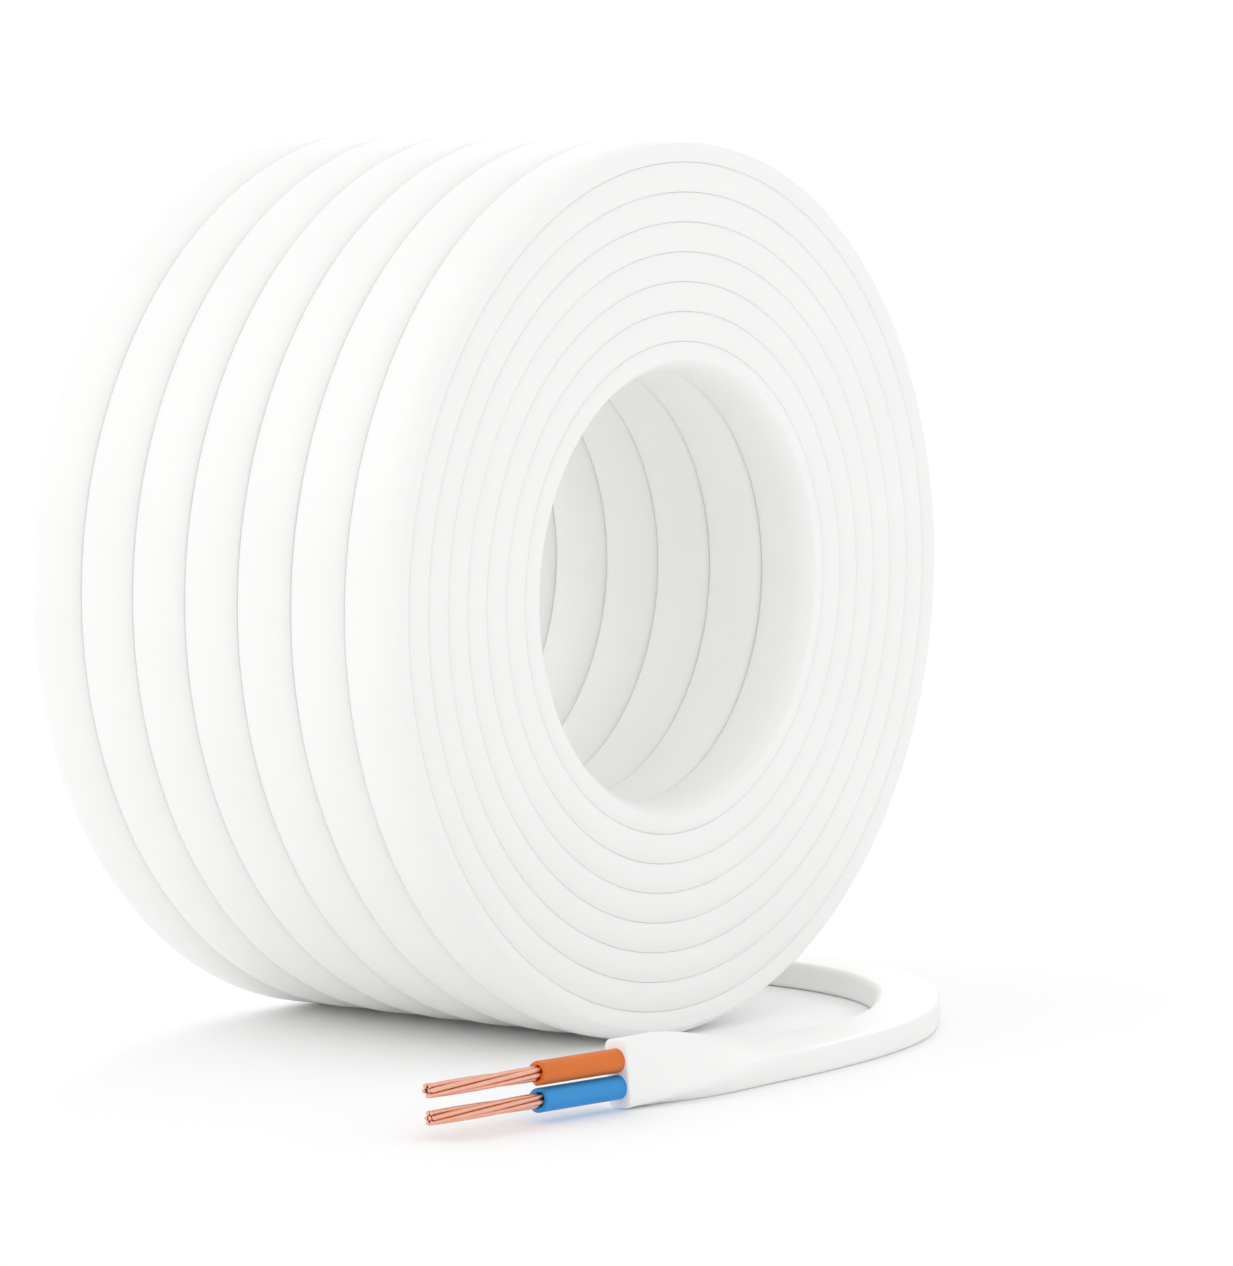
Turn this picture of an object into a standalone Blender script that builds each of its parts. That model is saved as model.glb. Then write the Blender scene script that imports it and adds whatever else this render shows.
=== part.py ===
"""A coil of flat twin-core electrical cable, standing on its rim, with its stripped free end in front.

Frame: metres, +Z up. The coil's axis runs along Y through (0, 0, coil radius), its visible end face
looks towards -Y, and the origin is on the floor under the middle of the coil.
"""

import math

import bmesh
import bpy
from mathutils import Matrix, Vector

# The flat cable
SHEATH_WIDTH = 0.0100
SHEATH_THICKNESS = 0.0044
SHEATH_CORNER = 0.0013

# The winding
TURNS_ACROSS = 7
LAYERS = 8
COLUMN_PITCH = 0.01015
LAYER_PITCH = 0.004475
BORE_RADIUS = 0.0327
RING_FACETS = 44

# The two cores, stripped at the free end
INSULATION_DIAMETER = 0.0035
CORE_SPACING = 0.0038
STRIPPED_LENGTH = 0.0160
CONDUCTOR_DIAMETER = 0.0022
BARE_LENGTH = 0.0205
OUTER_STRANDS = 6
STRAND_LAY = 0.075
CUT_GAP = 0.0003

# Free end's route: x and y of its middle, in metres, with its lean from upright, in degrees
TAIL_ROUTE = (
    (0.0256, 0.0305, 90),
    (0.0350, 0.0297, 90),
    (0.0455, 0.0245, 90),
    (0.0525, 0.0125, 90),
    (0.0562, -0.0025, 90),
    (0.0566, -0.0185, 90),
    (0.0525, -0.0340, 90),
    (0.0440, -0.0463, 90),
    (0.0335, -0.0547, 90),
    (0.0205, -0.0618, 90),
    (0.0055, -0.0657, 88),
    (-0.0105, -0.0674, 84),
    (-0.0260, -0.0679, 73),
    (-0.0410, -0.0689, 46),
    (-0.0564, -0.0673, 6),
)
STEPS_BETWEEN_POINTS = 3

# Colours: red, green, blue, roughness, metallic
WHITE_PVC = (0.88, 0.88, 0.88, 0.42, 0.0)
BROWN_PVC = (0.55, 0.17, 0.04, 0.40, 0.0)
BLUE_PVC = (0.04, 0.30, 0.72, 0.40, 0.0)
COPPER = (0.80, 0.42, 0.31, 0.32, 1.0)

COIL_WIDTH = TURNS_ACROSS * COLUMN_PITCH
COIL_RADIUS = BORE_RADIUS + LAYERS * LAYER_PITCH
HALF_FLAT = (SHEATH_WIDTH - SHEATH_THICKNESS) / 2


def clear_scene():
    for item in list(bpy.data.objects):
        bpy.data.objects.remove(item)


def material(name, finish):
    made = bpy.data.materials.new(name)
    made.use_nodes = True
    shader = made.node_tree.nodes["Principled BSDF"]
    shader.inputs["Base Color"].default_value = (*finish[:3], 1)
    shader.inputs["Roughness"].default_value = finish[3]
    shader.inputs["Metallic"].default_value = finish[4]
    return made


def add_object(name, data, finish):
    made = bpy.data.objects.new(name, data)
    made.data.materials.append(material(name, finish))
    bpy.context.scene.collection.objects.link(made)
    return made


def lobes(count, pitch, corner):
    """(along, depth) down a row of rounded turns: the two ends of each turn's flat, and the grooves."""
    points = []
    for turn in range(count):
        low = turn * pitch
        if turn > 0:
            points.append((low, corner))
        points.append((low + corner, 0))
        points.append((low + pitch - corner, 0))
    return points


def winding_profile():
    """(radius, y) round the wound section, from the front of the rim."""
    half = COIL_WIDTH / 2
    across = lobes(TURNS_ACROSS, COLUMN_PITCH, SHEATH_CORNER)
    deep = lobes(LAYERS, LAYER_PITCH, SHEATH_CORNER)
    rim = [(COIL_RADIUS - depth, along - half) for along, depth in across]
    back = [(COIL_RADIUS - along, half - depth) for along, depth in deep]
    bore = [(BORE_RADIUS + depth, half - along) for along, depth in across]
    front = [(BORE_RADIUS + along, depth - half) for along, depth in deep]
    return rim + back + bore + front


def wound_cable():
    """The winding, turned about the coil's axis, with a flat facet at the bottom, top and sides."""
    mesh = bmesh.new()
    to_flats = 1 / math.cos(math.pi / RING_FACETS)
    centre = Vector((0, 0, COIL_RADIUS))
    half_facet = Matrix.Rotation(math.pi / RING_FACETS, 4, "Y")
    ring = []
    for radius, along in winding_profile():
        place = half_facet @ Vector((0, along, -radius * to_flats))
        ring.append(mesh.verts.new(place + centre))
    edges = [mesh.edges.new((a, b)) for a, b in zip(ring, ring[1:] + ring[:1])]
    bmesh.ops.spin(
        mesh,
        geom=ring + edges,
        cent=centre,
        axis=(0, 1, 0),
        angle=2 * math.pi,
        steps=RING_FACETS,
        use_merge=True,
    )
    bmesh.ops.recalc_face_normals(mesh, faces=mesh.faces)
    data = bpy.data.meshes.new("wound_cable")
    mesh.to_mesh(data)
    mesh.free()
    data.shade_smooth()
    data.set_sharp_from_angle(angle=math.radians(30))
    return add_object("wound_cable", data, WHITE_PVC)


def smooth(values, position):
    """A smooth curve through the values, read at a position counted in values."""
    index = min(int(position), len(values) - 2)
    t = position - index
    start = values[max(index - 1, 0)]
    a, b = values[index], values[index + 1]
    end = values[min(index + 2, len(values) - 1)]
    slope_a = (b - start) / 2
    slope_b = (end - a) / 2
    held = (2 * t**3 - 3 * t**2 + 1) * a + (3 * t**2 - 2 * t**3) * b
    return held + (t**3 - 2 * t**2 + t) * slope_a + (t**3 - t**2) * slope_b


def tail_stations():
    """(middle of the cable, lean in radians) along the free end, resting on the floor."""
    stations = []
    last = (len(TAIL_ROUTE) - 1) * STEPS_BETWEEN_POINTS
    for step in range(last + 1):
        position = step / STEPS_BETWEEN_POINTS
        x, y, lean = (smooth([point[k] for point in TAIL_ROUTE], position) for k in range(3))
        lean = math.radians(min(lean, 90))
        height = HALF_FLAT * math.cos(lean) + SHEATH_THICKNESS / 2
        stations.append((Vector((x, y, height)), lean))
    return stations


def cable_tail(stations):
    """The free end of the flat cable, up to where its sheath is cut back."""
    data = bpy.data.curves.new("cable_tail", "CURVE")
    data.dimensions = "3D"
    data.twist_mode = "Z_UP"
    data.fill_mode = "FULL"
    data.use_fill_caps = True
    data.bevel_depth = SHEATH_THICKNESS / 2
    data.bevel_resolution = 2
    data.extrude = HALF_FLAT
    spline = data.splines.new("POLY")
    spline.points.add(len(stations) - 1)
    for point, (place, lean) in zip(spline.points, stations):
        point.co = (*place, 1)
        point.tilt = lean
    return add_object("cable_tail", data, WHITE_PVC)


def end_frame(stations):
    """The sheath's cut end: its middle, the way on from it, and the way across its width."""
    place, lean = stations[-1]
    onward = (place - stations[-2][0]).normalized()
    to_inside = onward.cross(Vector((0, 0, 1)))
    across = Vector((0, 0, 1)) * math.cos(lean) + to_inside * math.sin(lean)
    return place, onward, across


def core_insulation(name, start, onward, finish):
    data = bpy.data.curves.new(name, "CURVE")
    data.dimensions = "3D"
    data.use_fill_caps = True
    data.bevel_depth = INSULATION_DIAMETER / 2
    data.bevel_resolution = 2
    spline = data.splines.new("POLY")
    spline.points.add(1)
    spline.points[0].co = (*start, 1)
    spline.points[1].co = (*(start + onward * STRIPPED_LENGTH), 1)
    return add_object(name, data, finish)


def strand_section():
    """Angle and radius round the bundle: each strand's crown, and the groove beside it."""
    strand = CONDUCTOR_DIAMETER / 6
    middle = CONDUCTOR_DIAMETER / 2 - strand
    groove = middle * math.cos(math.pi / OUTER_STRANDS)
    shoulder = math.hypot(middle + strand * math.cos(1), strand * math.sin(1))
    turn = math.atan2(strand * math.sin(1), middle + strand * math.cos(1))
    points = []
    for index in range(OUTER_STRANDS):
        angle = 2 * math.pi * index / OUTER_STRANDS
        points.append((angle - turn, shoulder))
        points.append((angle, CONDUCTOR_DIAMETER / 2))
        points.append((angle + turn, shoulder))
        points.append((angle + math.pi / OUTER_STRANDS, groove))
    return points


def core_conductor(name, start, onward):
    """The bare strands, laid round each other, as one bundle with the grooves between them."""
    mesh = bmesh.new()
    side = onward.cross(Vector((0, 0, 1))).normalized()
    up = side.cross(onward)
    section = strand_section()
    stations = 12
    rings = []
    for station in range(stations + 1):
        along = BARE_LENGTH * station / stations
        lay = 2 * math.pi * along / STRAND_LAY
        ring = []
        for angle, radius in section:
            out = side * math.cos(angle + lay) + up * math.sin(angle + lay)
            ring.append(mesh.verts.new(start + onward * along + out * radius))
        rings.append(ring)
    for ring, following in zip(rings, rings[1:]):
        for index in range(len(section)):
            after = (index + 1) % len(section)
            mesh.faces.new((ring[index], ring[after], following[after], following[index]))
    mesh.faces.new(rings[0])
    mesh.faces.new(rings[-1])
    bmesh.ops.recalc_face_normals(mesh, faces=mesh.faces)
    data = bpy.data.meshes.new(name)
    mesh.to_mesh(data)
    mesh.free()
    return add_object(name, data, COPPER)


def build():
    clear_scene()
    wound_cable()
    stations = tail_stations()
    cable_tail(stations)
    place, onward, across = end_frame(stations)
    for colour, side, finish in (("brown", 1, BROWN_PVC), ("blue", -1, BLUE_PVC)):
        start = place + across * side * CORE_SPACING / 2 + onward * CUT_GAP
        core_insulation(colour + "_core_insulation", start, onward, finish)
        bare_start = start + onward * (STRIPPED_LENGTH + CUT_GAP)
        core_conductor(colour + "_core_conductor", bare_start, onward)


build()
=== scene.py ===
import math
import random

import bpy
import numpy as np
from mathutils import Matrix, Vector


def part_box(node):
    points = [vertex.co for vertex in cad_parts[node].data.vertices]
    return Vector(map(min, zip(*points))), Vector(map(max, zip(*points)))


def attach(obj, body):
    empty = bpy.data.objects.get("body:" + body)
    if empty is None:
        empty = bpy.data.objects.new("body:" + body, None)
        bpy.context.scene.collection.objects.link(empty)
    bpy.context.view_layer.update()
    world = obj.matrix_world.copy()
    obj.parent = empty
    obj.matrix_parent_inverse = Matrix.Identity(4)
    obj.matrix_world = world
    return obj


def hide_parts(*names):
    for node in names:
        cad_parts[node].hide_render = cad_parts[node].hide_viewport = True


# Lengths are in metres where no other unit is given
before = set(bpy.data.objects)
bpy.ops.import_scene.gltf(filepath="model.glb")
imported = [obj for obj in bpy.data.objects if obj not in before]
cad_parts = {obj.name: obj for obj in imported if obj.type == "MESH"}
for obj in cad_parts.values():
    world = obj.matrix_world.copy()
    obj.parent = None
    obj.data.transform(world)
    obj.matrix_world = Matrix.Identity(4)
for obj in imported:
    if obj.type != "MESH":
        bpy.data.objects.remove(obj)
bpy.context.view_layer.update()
coilLow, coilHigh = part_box("wound_cable")
coilRadius = (coilHigh.z - coilLow.z) / 2  # the coil stands on its rim, so its axis is this high
print("frame loaded, coil radius", round(coilRadius, 4))

photoCamera = {
    "azimuth": -52.43,  # degrees, 0 looks along +Y
    "elevation": 5.55,  # degrees above level
    "distance": 1.0346,
    "aimAcross": 0.01835,  # to the picture's right of the coil's middle
    "aimHeight": 0.05966,  # above the floor
    "lens": 191.3,  # mm
    "sensor": 36,  # mm
    "sight": 500,  # past the far end of the floor
}


def addCamera():
    azimuth, elevation = (math.radians(photoCamera[name]) for name in ("azimuth", "elevation"))
    back = Vector((
        math.sin(azimuth) * math.cos(elevation),
        -math.cos(azimuth) * math.cos(elevation),
        math.sin(elevation),
    ))
    right = Vector((math.cos(azimuth), math.sin(azimuth), 0))
    aim = right * photoCamera["aimAcross"] + Vector((0, 0, photoCamera["aimHeight"]))
    camera = bpy.data.objects.new("photo_camera", bpy.data.cameras.new("photo_camera"))
    camera.data.lens = photoCamera["lens"]
    camera.data.sensor_width = photoCamera["sensor"]
    camera.data.clip_end = photoCamera["sight"]
    camera.location = aim + back * photoCamera["distance"]
    camera.rotation_euler = back.to_track_quat("Z", "Y").to_euler()
    bpy.context.scene.collection.objects.link(camera)
    bpy.context.scene.camera = camera


addCamera()
print("camera placed")

# Materials


def hexColour(text):
    # sRGB hex to the linear colour that a shader takes
    parts = [int(text[start:start + 2], 16) / 255 for start in (1, 3, 5)]
    linear = [p / 12.92 if p <= 0.04045 else ((p + 0.055) / 1.055) ** 2.4 for p in parts]
    return (*linear, 1)


def perMetre(millimetres):
    # a pattern's scale, so that one cell of it is this long
    return 1000 / millimetres


def addNode(material, kind, values=None, links=None, **settings):
    node = material.node_tree.nodes.new(kind)
    for name, value in settings.items():
        setattr(node, name, value)
    for socket, value in (values or {}).items():
        node.inputs[socket].default_value = value
    for socket, source in (links or {}).items():
        material.node_tree.links.new(source, node.inputs[socket])
    return node


def startMaterial(name):
    material = bpy.data.materials.new(name)
    material.use_nodes = True
    return material, material.node_tree.nodes["Principled BSDF"]


sheathFinish = {
    "light": "#F4F4F3",
    "shade": "#F0F0EF",
    "mottle": 14,  # mm between cloudy patches
    "dieLine": 0.45,  # mm between lines; real ones are finer, and this is as fine as shows
    "dieDepth": 0.012,  # mm
    "grain": 0.6,  # mm, the faint orange peel of cooled plastic
    "grainDepth": 0.004,  # mm
    "ior": 1.53,  # typical of PVC
    "roughness": (0.38, 0.50),
}


def extrudedPvc(name, finish):
    # Plasticised PVC, extruded and drawn through a water bath: satin, slightly cloudy, and
    # with faint lines along the cable where the die touched it
    material, shader = startMaterial(name)
    place = addNode(material, "ShaderNodeTexCoord")
    section = addNode(material, "ShaderNodeAttribute", attribute_name="sectionPlace")
    cloud = addNode(
        material,
        "ShaderNodeTexNoise",
        {"Scale": perMetre(finish["mottle"]), "Detail": 3, "Roughness": 0.55},
        {"Vector": place.outputs["Object"]},
    )
    lines = addNode(
        material,
        "ShaderNodeTexNoise",
        {"Scale": perMetre(finish["dieLine"]), "Detail": 2, "Roughness": 0.6},
        {"Vector": section.outputs["Vector"]},
    )
    grain = addNode(
        material,
        "ShaderNodeTexNoise",
        {"Scale": perMetre(finish["grain"]), "Detail": 2},
        {"Vector": place.outputs["Object"]},
    )
    colour = addNode(
        material,
        "ShaderNodeMix",
        {6: hexColour(finish["shade"]), 7: hexColour(finish["light"])},  # the colour sockets
        {"Factor": cloud.outputs["Fac"]},
        data_type="RGBA",
    )
    low, high = finish["roughness"]
    gloss = addNode(
        material,
        "ShaderNodeMapRange",
        {"From Min": 0.3, "From Max": 0.7, "To Min": low, "To Max": high},
        {"Value": lines.outputs["Fac"]},
    )
    lineBump = addNode(
        material,
        "ShaderNodeBump",
        {"Distance": finish["dieDepth"] / 1000},
        {"Height": lines.outputs["Fac"]},
    )
    grainBump = addNode(
        material,
        "ShaderNodeBump",
        {"Distance": finish["grainDepth"] / 1000},
        {"Height": grain.outputs["Fac"], "Normal": lineBump.outputs["Normal"]},
    )
    shader.inputs["IOR"].default_value = finish["ior"]
    link = material.node_tree.links.new
    link(colour.outputs[2], shader.inputs["Base Color"])
    link(gloss.outputs["Result"], shader.inputs["Roughness"])
    link(grainBump.outputs["Normal"], shader.inputs["Normal"])
    return material


brownFinish = {
    "light": "#E07003",
    "shade": "#D26500",
    "mottle": 5,
    "dieLine": 0.30,
    "dieDepth": 0.010,
    "grain": 0.4,
    "grainDepth": 0.003,
    "ior": 1.53,
    "roughness": (0.34, 0.44),
}
blueFinish = {**brownFinish, "light": "#1A93D9", "shade": "#0E86CE"}

copperFinish = {
    "light": "#F6C4B0",
    "shade": "#E8A98F",
    "stain": 1.6,  # mm between patches of light tarnish
    "drawLine": 0.10,  # mm between the lines that the drawing die leaves; real ones are finer
    "drawDepth": 0.004,  # mm
    "roughness": (0.24, 0.38),
}


def drawnCopper(name, finish):
    # Soft annealed copper wire, drawn through a die: bright salmon pink, with fine lines along it
    material, shader = startMaterial(name)
    place = addNode(material, "ShaderNodeTexCoord")
    section = addNode(material, "ShaderNodeAttribute", attribute_name="sectionPlace")
    stain = addNode(
        material,
        "ShaderNodeTexNoise",
        {"Scale": perMetre(finish["stain"]), "Detail": 4},
        {"Vector": place.outputs["Object"]},
    )
    lines = addNode(
        material,
        "ShaderNodeTexNoise",
        {"Scale": perMetre(finish["drawLine"]), "Detail": 2},
        {"Vector": section.outputs["Vector"]},
    )
    colour = addNode(
        material,
        "ShaderNodeMix",
        {6: hexColour(finish["shade"]), 7: hexColour(finish["light"])},
        {"Factor": stain.outputs["Fac"]},
        data_type="RGBA",
    )
    low, high = finish["roughness"]
    gloss = addNode(
        material,
        "ShaderNodeMapRange",
        {"From Min": 0.3, "From Max": 0.7, "To Min": low, "To Max": high},
        {"Value": stain.outputs["Fac"]},
    )
    bump = addNode(
        material,
        "ShaderNodeBump",
        {"Distance": finish["drawDepth"] / 1000},
        {"Height": lines.outputs["Fac"]},
    )
    shader.inputs["Metallic"].default_value = 1
    link = material.node_tree.links.new
    link(colour.outputs[2], shader.inputs["Base Color"])
    link(gloss.outputs["Result"], shader.inputs["Roughness"])
    link(bump.outputs["Normal"], shader.inputs["Normal"])
    return material


whiteSheath = extrudedPvc("extruded_white_pvc", sheathFinish)
brownInsulation = extrudedPvc("extruded_brown_pvc", brownFinish)
blueInsulation = extrudedPvc("extruded_blue_pvc", blueFinish)
bareCopper = drawnCopper("drawn_annealed_copper", copperFinish)
print("materials made")

# Mesh tools: a section swept along stations, each with the way across and the way outward


def unit(vectors):
    return vectors / np.linalg.norm(vectors, axis=1, keepdims=True)


def stationsAlong(places, outward, closed=False):
    # across x outward = along, at every station
    if closed:
        along = unit(np.roll(places, -1, axis=0) - np.roll(places, 1, axis=0))
    else:
        along = unit(np.gradient(places, axis=0))
    across = unit(np.cross(outward, along))
    return places, across, np.cross(along, across)


def sweep(stations, section, seed, closed=False):
    # the section is one outline for all stations, or one for each, and the seed sets the
    # pattern of lines on one piece of cable apart from the next one's
    places, across, outward = stations
    sections = np.broadcast_to(section, (len(places), *section.shape[-2:]))
    a, o = sections[..., 0], sections[..., 1]
    points = places[:, None] + a[..., None] * across[:, None] + o[..., None] * outward[:, None]
    index = np.arange(a.size).reshape(a.shape)
    here, after = (index, np.roll(index, -1, axis=0)) if closed else (index[:-1], index[1:])
    quads = np.stack([here, np.roll(here, -1, axis=1), np.roll(after, -1, axis=1), after], axis=-1)
    faces = quads.reshape(-1, 4).tolist()
    if not closed:
        faces += [index[0][::-1].tolist(), index[-1].tolist()]
    marks = np.stack([a, o, np.full_like(a, seed)], axis=-1)
    return points.reshape(-1, 3), faces, marks.reshape(-1, 3)


def makePiece(name, swept, material, nodes, sharpAngle=50):
    points, faces, marks, first = [], [], [], 0
    for part, partFaces, partMarks in swept:
        faces += [[first + corner for corner in face] for face in partFaces]
        points.append(part)
        marks.append(partMarks)
        first += len(part)
    mesh = bpy.data.meshes.new(name)
    mesh.from_pydata(np.concatenate(points).tolist(), [], faces)
    place = mesh.attributes.new("sectionPlace", "FLOAT_VECTOR", "POINT")
    place.data.foreach_set("vector", np.concatenate(marks).astype(np.float32).ravel())
    mesh.materials.append(material)
    mesh.shade_smooth()
    mesh.set_sharp_from_angle(angle=math.radians(sharpAngle))
    piece = bpy.data.objects.new(name, mesh)
    bpy.context.scene.collection.objects.link(piece)
    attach(piece, "root")
    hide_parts(*nodes)
    print(name, "has", sum(len(face) - 2 for face in faces), "triangles")
    return piece


def distanceAlong(places):
    steps = np.linalg.norm(np.diff(places, axis=0), axis=1)
    return np.concatenate([[0], np.cumsum(steps)])


def circle(points):
    turns = np.linspace(0, 2 * math.pi, points, endpoint=False)
    return np.stack([np.cos(turns), np.sin(turns)], axis=1)


def ease(start, end, value):
    # 0 before start, 1 after end, smooth between
    share = np.clip((value - start) / (end - start), 0, 1)
    return share * share * (3 - 2 * share)


# The flat cable

cable = {
    "width": 0.0100,
    "thickness": 0.0044,
    "corner": 0.0008,  # radius of its edges
    "crown": 0.0001,  # how far a wide face falls away at its edges
    "sideCrown": 0.0002,  # the same on a narrow side
    "crownShape": 2.6,  # 2 is an arc, and more keeps the middle flatter
    "sideShape": 2.8,
}
cornerSides = ((1, -1), (1, 1), (-1, 1), (-1, -1))  # (across, outward): inner front one first


def sheathSection(width, thickness, corners, crowns, steps):
    # (across, outward) round the sheath, anticlockwise. The crowns are those of its front side,
    # outer face, back side and inner face, and the steps those of a corner, a side and a face
    half = np.array([width, thickness]) / 2
    arcs = []
    for index, (sides, radius) in enumerate(zip(cornerSides, corners)):
        turns = np.radians(90 * (index - 1) + np.linspace(0, 90, steps[0] + 1))
        arcs.append((half - radius) * sides + radius * np.stack([np.cos(turns), np.sin(turns)], axis=1))
    outline = []
    for arc, after, runSteps in zip(arcs, arcs[1:] + arcs[:1], steps[1:] * 2):
        closer = 0.5 - 0.5 * np.cos(np.linspace(0, math.pi, runSteps + 1)[1:-1])  # near the edges
        outline += [arc, arc[-1] + closer[:, None] * (after[0] - arc[-1])]
    points = np.concatenate(outline)
    a, o = (points / half).T  # -1 to 1
    front, outer, back, inner = crowns
    across = points[:, 0] - a * np.where(a > 0, front, back) * np.abs(o) ** cable["sideShape"]
    outward = points[:, 1] - o * np.where(o > 0, outer, inner) * np.abs(a) ** cable["crownShape"]
    return np.stack([across, outward], axis=1)


# The free end

freeEnd = {
    "route": (  # x and y of its middle, lean from upright in degrees; it leaves the coil lying flat
        (0.0, 0.03045, 90),
        (0.0085, 0.03045, 90),
        (0.0170, 0.0305, 90),
        (0.0256, 0.0305, 90),
        (0.0350, 0.0297, 90),
        (0.0455, 0.0245, 90),
        (0.0525, 0.0125, 90),
        (0.0562, -0.0025, 90),
        (0.0566, -0.0185, 90),
        (0.0525, -0.0340, 90),
        (0.0440, -0.0463, 90),
        (0.0335, -0.0547, 90),
        (0.0205, -0.0618, 90),
        (0.0055, -0.0657, 88),
        (-0.0105, -0.0674, 84),
        (-0.0260, -0.0679, 73),
        (-0.0410, -0.0689, 46),
        (-0.0564, -0.0673, 6),
    ),
    "solidSteps": 3,  # points of the solid's line for each point of the route
    "steps": 14,  # stations for each point of the route
    "sectionSteps": (4, 6, 10),  # faces in a corner, on a narrow side and on a wide face
    "inset": 0.0007,  # keeps its edges, squarer than the solid's, within the solid's reach
    "insetBy": 0.02,  # how far from the exit the inset is whole
    "cutRounding": 0.00022,  # at the sheath's cut edge
    "cutMiddle": 0.3,  # share of the rounding where its middle ring lies
}


def routeAt(position):
    # a smooth curve through the route, read at a position counted in points
    route = np.array(freeEnd["route"])
    index = min(int(position), len(route) - 2)
    t = position - index
    before, a = route[max(index - 1, 0)], route[index]
    b, after = route[index + 1], route[min(index + 2, len(route) - 1)]
    held = (2 * t**3 - 3 * t**2 + 1) * a + (3 * t**2 - 2 * t**3) * b
    sloped = (t**3 - 2 * t**2 + t) * (b - before) / 2 + (t**3 - t**2) * (after - a) / 2
    x, y, lean = held + sloped
    return np.array([x, y, 0]), math.radians(min(lean, 90))


def makeFreeEnd():
    last = len(freeEnd["route"]) - 1
    end, endLean = routeAt(last)
    onward = unit((end - routeAt(last - 1 / freeEnd["solidSteps"])[0])[None])[0]
    read = [routeAt(step / freeEnd["steps"]) for step in range(last * freeEnd["steps"])]
    places = np.array([place for place, lean in read])
    leans = np.array([lean for place, lean in read])
    rounding, middle = freeEnd["cutRounding"], freeEnd["cutMiddle"]
    keep = np.linalg.norm(places - end, axis=1) > 2 * rounding
    cut = np.array([end - onward * rounding, end - onward * rounding * middle, end])
    places = np.concatenate([places[keep], cut])
    leans = np.concatenate([leans[keep], np.full(len(cut), endLean)])
    along = unit(np.gradient(places, axis=0))
    along[-len(cut):] = onward
    up = np.tile((0.0, 0.0, 1.0), (len(places), 1))
    toInside = unit(np.cross(along, up))
    across = up * np.cos(leans)[:, None] + toInside * np.sin(leans)[:, None]
    outward = np.cross(along, across)
    corners, crowns = (cable["corner"],) * 4, (cable["sideCrown"], cable["crown"]) * 2
    size = cable["width"], cable["thickness"]
    section = sheathSection(*size, corners, crowns, freeEnd["sectionSteps"])
    heights = section[:, 0] * across[:, 2:] + section[:, 1] * outward[:, 2:]
    places[:, 2] = -heights.min(axis=1)  # it rests on the floor at every station
    inset = ease(0, freeEnd["insetBy"], distanceAlong(places))[:, None]
    places += toInside * freeEnd["inset"] * inset
    sections = np.tile(section, (len(places), 1, 1))
    for station, cutBack in ((-2, middle * rounding), (-1, rounding)):
        sections[station] *= 1 - 2 * cutBack / np.array(size)
    tail = makePiece(
        "free_end",
        [sweep((places, across, outward), sections, 0)],
        whiteSheath,
        ["cable_tail"],
    )
    return tail, places, (places[-1], onward, across[-1])


tail, tailPath, sheathEnd = makeFreeEnd()

# The stripped cores

core = {
    "spacing": 0.0038,
    "insulation": 0.0035,  # outer diameter
    "stripped": 0.0160,  # insulation past the sheath
    "gap": 0.0003,  # the solids' clearance, kept in the lengths
    "bare": 0.0205,  # copper past the insulation
    "conductor": 0.0022,
    "lay": 0.075,  # length of one turn of the strands
    "outerStrands": 6,
    "insulationSteps": (36, 48),  # along it and round it
    "insulationHidden": 0.0010,  # how far inside the sheath it starts
    "boreGap": 0.00005,  # between the strands and the insulation
    "boreDepth": 0.0015,  # how far its bore is modelled
    "cutEdge": ((0.00012, 0), (0.00003, 0.00004), (0, 0.00013)),  # (back, inward) of its rounding
    "cutSpread": 0.0005,  # how uneven the insulation's cut edge is
    "cutReach": 0.0030,  # how far back the unevenness is felt
    "cutWaves": (1, 2, 3, 5),  # round the edge
    "strandSteps": (48, 14),  # along a strand and round it
    "strandHidden": 0.0014,  # how far inside the insulation they start
    "strandFit": 0.99,  # share of the room that a strand takes
    "strandCut": 0.86,  # share of a strand's radius at its cut, a small burr-free edge
    "tipSpread": 0.0004,  # how much shorter the shortest strand is
    "opening": 0.10,  # how far the tips spread, as a share of the bundle
    "openingReach": 0.008,
    "openingShare": (0.2, 1),  # of it, by chance for each strand
    "seed": 11,
}


def makeInsulation(colour, start, onward, up, material, draw):
    radius = core["insulation"] / 2
    bore = core["conductor"] / 2 + core["boreGap"]
    length = core["gap"] + core["stripped"]
    steps, sides = core["insulationSteps"]
    profile = [(-core["insulationHidden"], radius)]
    profile += [(length * step / steps, radius) for step in range(steps)]
    profile += [(length - back, radius - inward) for back, inward in core["cutEdge"]]
    profile += [(length, bore), (length - core["boreDepth"], bore)]
    distance, radii = np.array(profile).T
    places = start + distance[:, None] * onward
    outward = np.tile(up, (len(places), 1))
    across = np.tile(np.cross(up, onward), (len(places), 1))
    sections = circle(sides) * radii[:, None, None]
    points, faces, marks = sweep((places, across, outward), sections, 0.1)
    angles = np.linspace(0, 2 * math.pi, sides, endpoint=False)
    # each wave starts at a place drawn by chance, in radians
    waves = [np.sin(count * angles + draw.uniform(0, 6)) / count for count in core["cutWaves"]]
    wave = sum(waves) / 2
    felt = ease(length - core["cutReach"], length, distance)
    shorter = core["cutSpread"] * felt[:, None] * (wave - wave.max())[None]
    points = points + shorter.reshape(-1, 1) * onward
    return makePiece(
        colour + "_insulation",
        [(points, faces, marks)],
        material,
        [colour + "_core_insulation"],
    )


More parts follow.
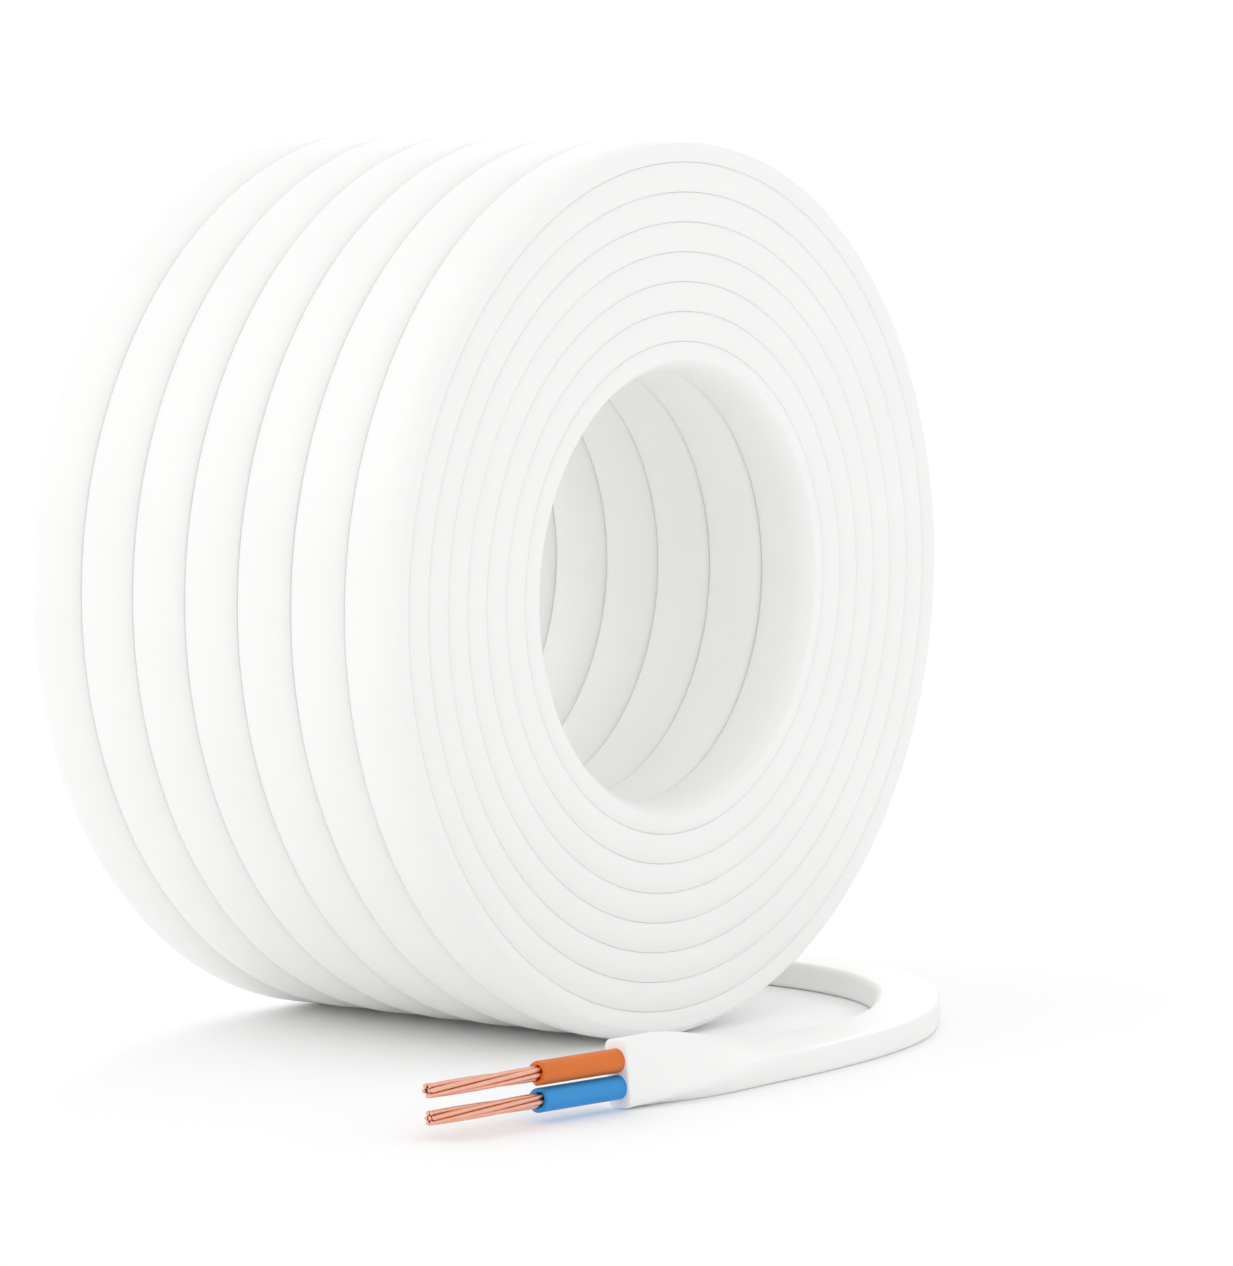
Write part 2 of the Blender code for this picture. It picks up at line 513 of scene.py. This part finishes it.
def makeConductor(colour, start, onward, up, draw):
    strand = core["conductor"] / 6  # radius of one strand, as three lie across the bundle
    side = np.cross(onward, up)
    begin = core["gap"] + core["stripped"] - core["strandHidden"]
    end = core["gap"] * 2 + core["stripped"] + core["bare"]
    steps, sides = core["strandSteps"]
    swept = []
    for index in range(core["outerStrands"] + 1):
        laid = 0 if index == core["outerStrands"] else 2 * strand
        reach = end - draw.uniform(0, core["tipSpread"])
        distance = np.linspace(begin, reach, steps)
        nearTip = ease(end - core["openingReach"], end, distance)
        opening = 1 + core["opening"] * nearTip * draw.uniform(*core["openingShare"])
        turn = 2 * math.pi * (index / core["outerStrands"] + distance / core["lay"])
        offset = (laid * opening * np.cos(turn))[:, None] * side
        offset = offset + (laid * opening * np.sin(turn))[:, None] * up
        places = start + distance[:, None] * onward + offset
        stations = stationsAlong(places, np.tile(up, (len(places), 1)))
        radii = np.full(len(places), strand * core["strandFit"])
        radii[-1] *= core["strandCut"]
        swept.append(sweep(stations, circle(sides) * radii[:, None, None], 0.2 + index / 10))
    node = colour + "_core_conductor"
    return makePiece(colour + "_strands", swept, bareCopper, [node])


def makeCores():
    end, onward, across = sheathEnd
    draw = random.Random(core["seed"])
    pieces = []
    for colour, side, material in (("brown", 1, brownInsulation), ("blue", -1, blueInsulation)):
        start = end + across * side * core["spacing"] / 2
        pieces.append(makeInsulation(colour, start, onward, across, material, draw))
        pieces.append(makeConductor(colour, start, onward, across, draw))
    return pieces


cores = makeCores()
print("free end laid")

# The coil

coil = {
    "columns": 7,  # turns side by side
    "layers": 8,
    "layerPitch": 0.004475,
    "segments": 240,  # round a turn that shows
    "shownSteps": (4, 12, 10),  # faces in a corner, on a narrow side and on a wide face
    "outerSteps": (4, 8, 10),
    "hiddenSegments": 96,
    "hiddenSteps": (1, 1, 1),
    "edgeCorner": 0.0011,  # radius of a turn's edge where the rim or the bore meets an end
    "corner": 0.0009,  # radius of its edges in the grooves of the rim and the bore
    "endCorner": 0.0001,  # and of those pressed flat, in the grooves of the ends
    "rimCrown": 0.0013,  # how far a turn falls away at its edges on the rim
    "boreCrown": 0.0012,
    "endCrown": 0.00055,
    "columnGap": 0.00012,  # between turns side by side
    "pressGap": 0.00002,  # between layers that press on each other
    "stray": 0.00003,  # how far a turn strays from its place
    "strayWaves": (1, 2, 3),  # round a turn
    "crossover": (-68, 10),  # degrees, where each outer turn steps to the next column
    "riser": (8, 45),  # degrees, where the cable climbs into the outer layer
    "firstAngle": -345,  # degrees, where its last turn in the layer below starts
    "exitAngle": -90,  # degrees, the bottom of the last column, where the free end leaves
    "settling": 40,  # degrees before the exit in which the last turn finds its true place
    "seed": 5,
}
columnPitch = (coilHigh.y - coilLow.y) / coil["columns"]
boreRadius = coilRadius - coil["layers"] * coil["layerPitch"]
turnDraw = random.Random(coil["seed"])


def columnPlace(column):
    return coilLow.y + (column - 0.5) * columnPitch


def layerRadius(layer):
    return boreRadius + (layer - 0.5) * coil["layerPitch"]


def drawnWaves():
    return [(count, turnDraw.uniform(0, 2 * math.pi)) for count in coil["strayWaves"]]


columnWaves = [drawnWaves() for column in range(coil["columns"] + 1)]  # its layers stray together


def strayed(angles, waves):
    # a slow wave round the coil, never more than the stray
    return coil["stray"] * sum(np.sin(count * angles + phase) for count, phase in waves) / len(waves)


def coilStations(angles, radii, middles, closed):
    outward = np.stack([np.cos(angles), np.zeros_like(angles), np.sin(angles)], axis=1)
    height = np.full_like(angles, coilRadius)
    places = outward * radii[:, None] + np.stack([np.zeros_like(angles), middles, height], axis=1)
    return stationsAlong(places, outward, closed)


def cornerRadius(onEnd, onFace):
    if onEnd and onFace:
        return coil["edgeCorner"]
    return coil["corner"] if onFace else coil["endCorner"]


def turnSection(column, layer, steps=None):
    # pressed flat on its neighbours, and crowned where it is free
    front, back = column == 1, column == coil["columns"]
    rim, bore = layer == coil["layers"], layer == 1
    corners = [cornerRadius(*free) for free in ((front, bore), (front, rim), (back, rim), (back, bore))]
    crowns = [
        coil["endCrown"] * front,
        coil["rimCrown"] * rim,
        coil["endCrown"] * back,
        coil["boreCrown"] * bore,
    ]
    inCorner, onSide, onFace = coil["shownSteps"]
    steps = steps or (inCorner, onSide if front or back else 1, onFace if rim or bore else 1)
    width, thickness = columnPitch - coil["columnGap"], coil["layerPitch"] - coil["pressGap"]
    return sheathSection(width, thickness, corners, crowns, steps)


def ringTurn(column, layer, segments, section):
    angles = np.linspace(0, 2 * math.pi, segments, endpoint=False)
    radii = layerRadius(layer) - coil["stray"] + strayed(angles, columnWaves[column])
    inward = np.sign((coil["columns"] + 1) / 2 - column)
    middles = columnPlace(column) + inward * coil["stray"] + strayed(angles, drawnWaves())
    stations = coilStations(angles, radii, middles, True)
    return sweep(stations, section, column + layer / 10, closed=True)


def rings(columns, layers, hidden=False):
    segments = coil["hiddenSegments"] if hidden else coil["segments"]
    steps = coil["hiddenSteps"] if hidden else None
    return [
        ringTurn(column, layer, segments, turnSection(column, layer, steps))
        for column in columns
        for layer in layers
    ]


def outerTurns():
    # one length of cable: up from the layer below in column 2, then a turn in each column
    start, end = coil["crossover"]
    last = 360 * (coil["columns"] - 1) + coil["exitAngle"]
    count = int((last - coil["firstAngle"]) / 360 * coil["segments"])
    angles = np.linspace(coil["firstAngle"], last, count)
    radii = layerRadius(coil["layers"] - 1) + coil["layerPitch"] * ease(*coil["riser"], angles)
    middles = np.full_like(angles, columnPlace(2))
    for step in range(coil["columns"] - 2):
        turn = 360 * (step + 1)
        middles += columnPitch * ease(start + turn, end + turn, angles)
    settled = ease(last, last - coil["settling"], angles)
    turns = np.radians(angles)
    radii += settled * (strayed(turns, drawnWaves()) - coil["stray"])
    middles += settled * (strayed(turns, drawnWaves()) - coil["stray"])
    pressed = turnSection(2, coil["layers"], coil["outerSteps"])
    atBack = turnSection(coil["columns"], coil["layers"], coil["outerSteps"])  # its side shows there
    share = ease(start + turn, end + turn, angles)[:, None, None]  # over the last step to the back
    return sweep(coilStations(turns, radii, middles, False), pressed + share * (atBack - pressed), 9)


def makeCoil():
    columns, layers = coil["columns"], coil["layers"]
    inner = range(2, columns)
    groups = {
        "front_turns": rings([1], range(1, layers + 1)),
        "back_turns": rings([columns], range(1, layers)),
        "bore_turns": rings(inner, [1]),
        "outer_turns": [outerTurns()],
        "inner_turns": rings(inner, range(2, layers - 1), hidden=True)
        + rings(range(3, columns), [layers - 1]),  # the outer turns' first one fills column 2 there
    }
    for name, swept in groups.items():
        makePiece(name, swept, whiteSheath, ["wound_cable"])


makeCoil()
print("coil wound")

# The studio

studio = {
    "floorReach": 100,  # it ends past the picture's top
    "floor": "#FAFAFA",
    "floorRoughness": 0.9,
    "floorSpecular": 0.2,
    "backdrop": 1.0,  # how bright the white all round is
    "key": (0.34, 20, (0.80, 0.40, 0.45)),  # strength, spread in degrees, and where it comes from
    "rimLight": (0.32, 50, (-0.55, 0.50, 0.67)),
    "bounces": 12,  # light passes many times between white plastic and white paper
}


def addSoftLight(name):
    strength, spread, source = studio[name]
    light = bpy.data.objects.new(name + "_light", bpy.data.lights.new(name + "_light", "SUN"))
    light.data.energy = strength
    light.data.angle = math.radians(spread)
    light.rotation_euler = Vector(source).to_track_quat("Z", "Y").to_euler()
    bpy.context.scene.collection.objects.link(light)


def makeFloor():
    reach = studio["floorReach"]
    corners = [(-reach, -reach, 0), (reach, -reach, 0), (reach, reach, 0), (-reach, reach, 0)]
    mesh = bpy.data.meshes.new("floor")
    mesh.from_pydata(corners, [], [(0, 1, 2, 3)])
    paper, shader = startMaterial("matt_white_paper")  # seamless background paper
    shader.inputs["Base Color"].default_value = hexColour(studio["floor"])
    shader.inputs["Roughness"].default_value = studio["floorRoughness"]
    shader.inputs["Specular IOR Level"].default_value = studio["floorSpecular"]
    mesh.materials.append(paper)
    floor = bpy.data.objects.new("floor", mesh)
    bpy.context.scene.collection.objects.link(floor)


def makeStudio():
    makeFloor()
    world = bpy.data.worlds.new("white_studio")
    world.use_nodes = True
    backdrop = world.node_tree.nodes["Background"]
    backdrop.inputs["Color"].default_value = (1, 1, 1, 1)
    backdrop.inputs["Strength"].default_value = studio["backdrop"]
    bpy.context.scene.world = world
    for name in ("key", "rimLight"):
        addSoftLight(name)
    bpy.context.scene.cycles.diffuse_bounces = studio["bounces"]
    bpy.context.scene.view_settings.view_transform = "Standard"


makeStudio()
print("studio lit")
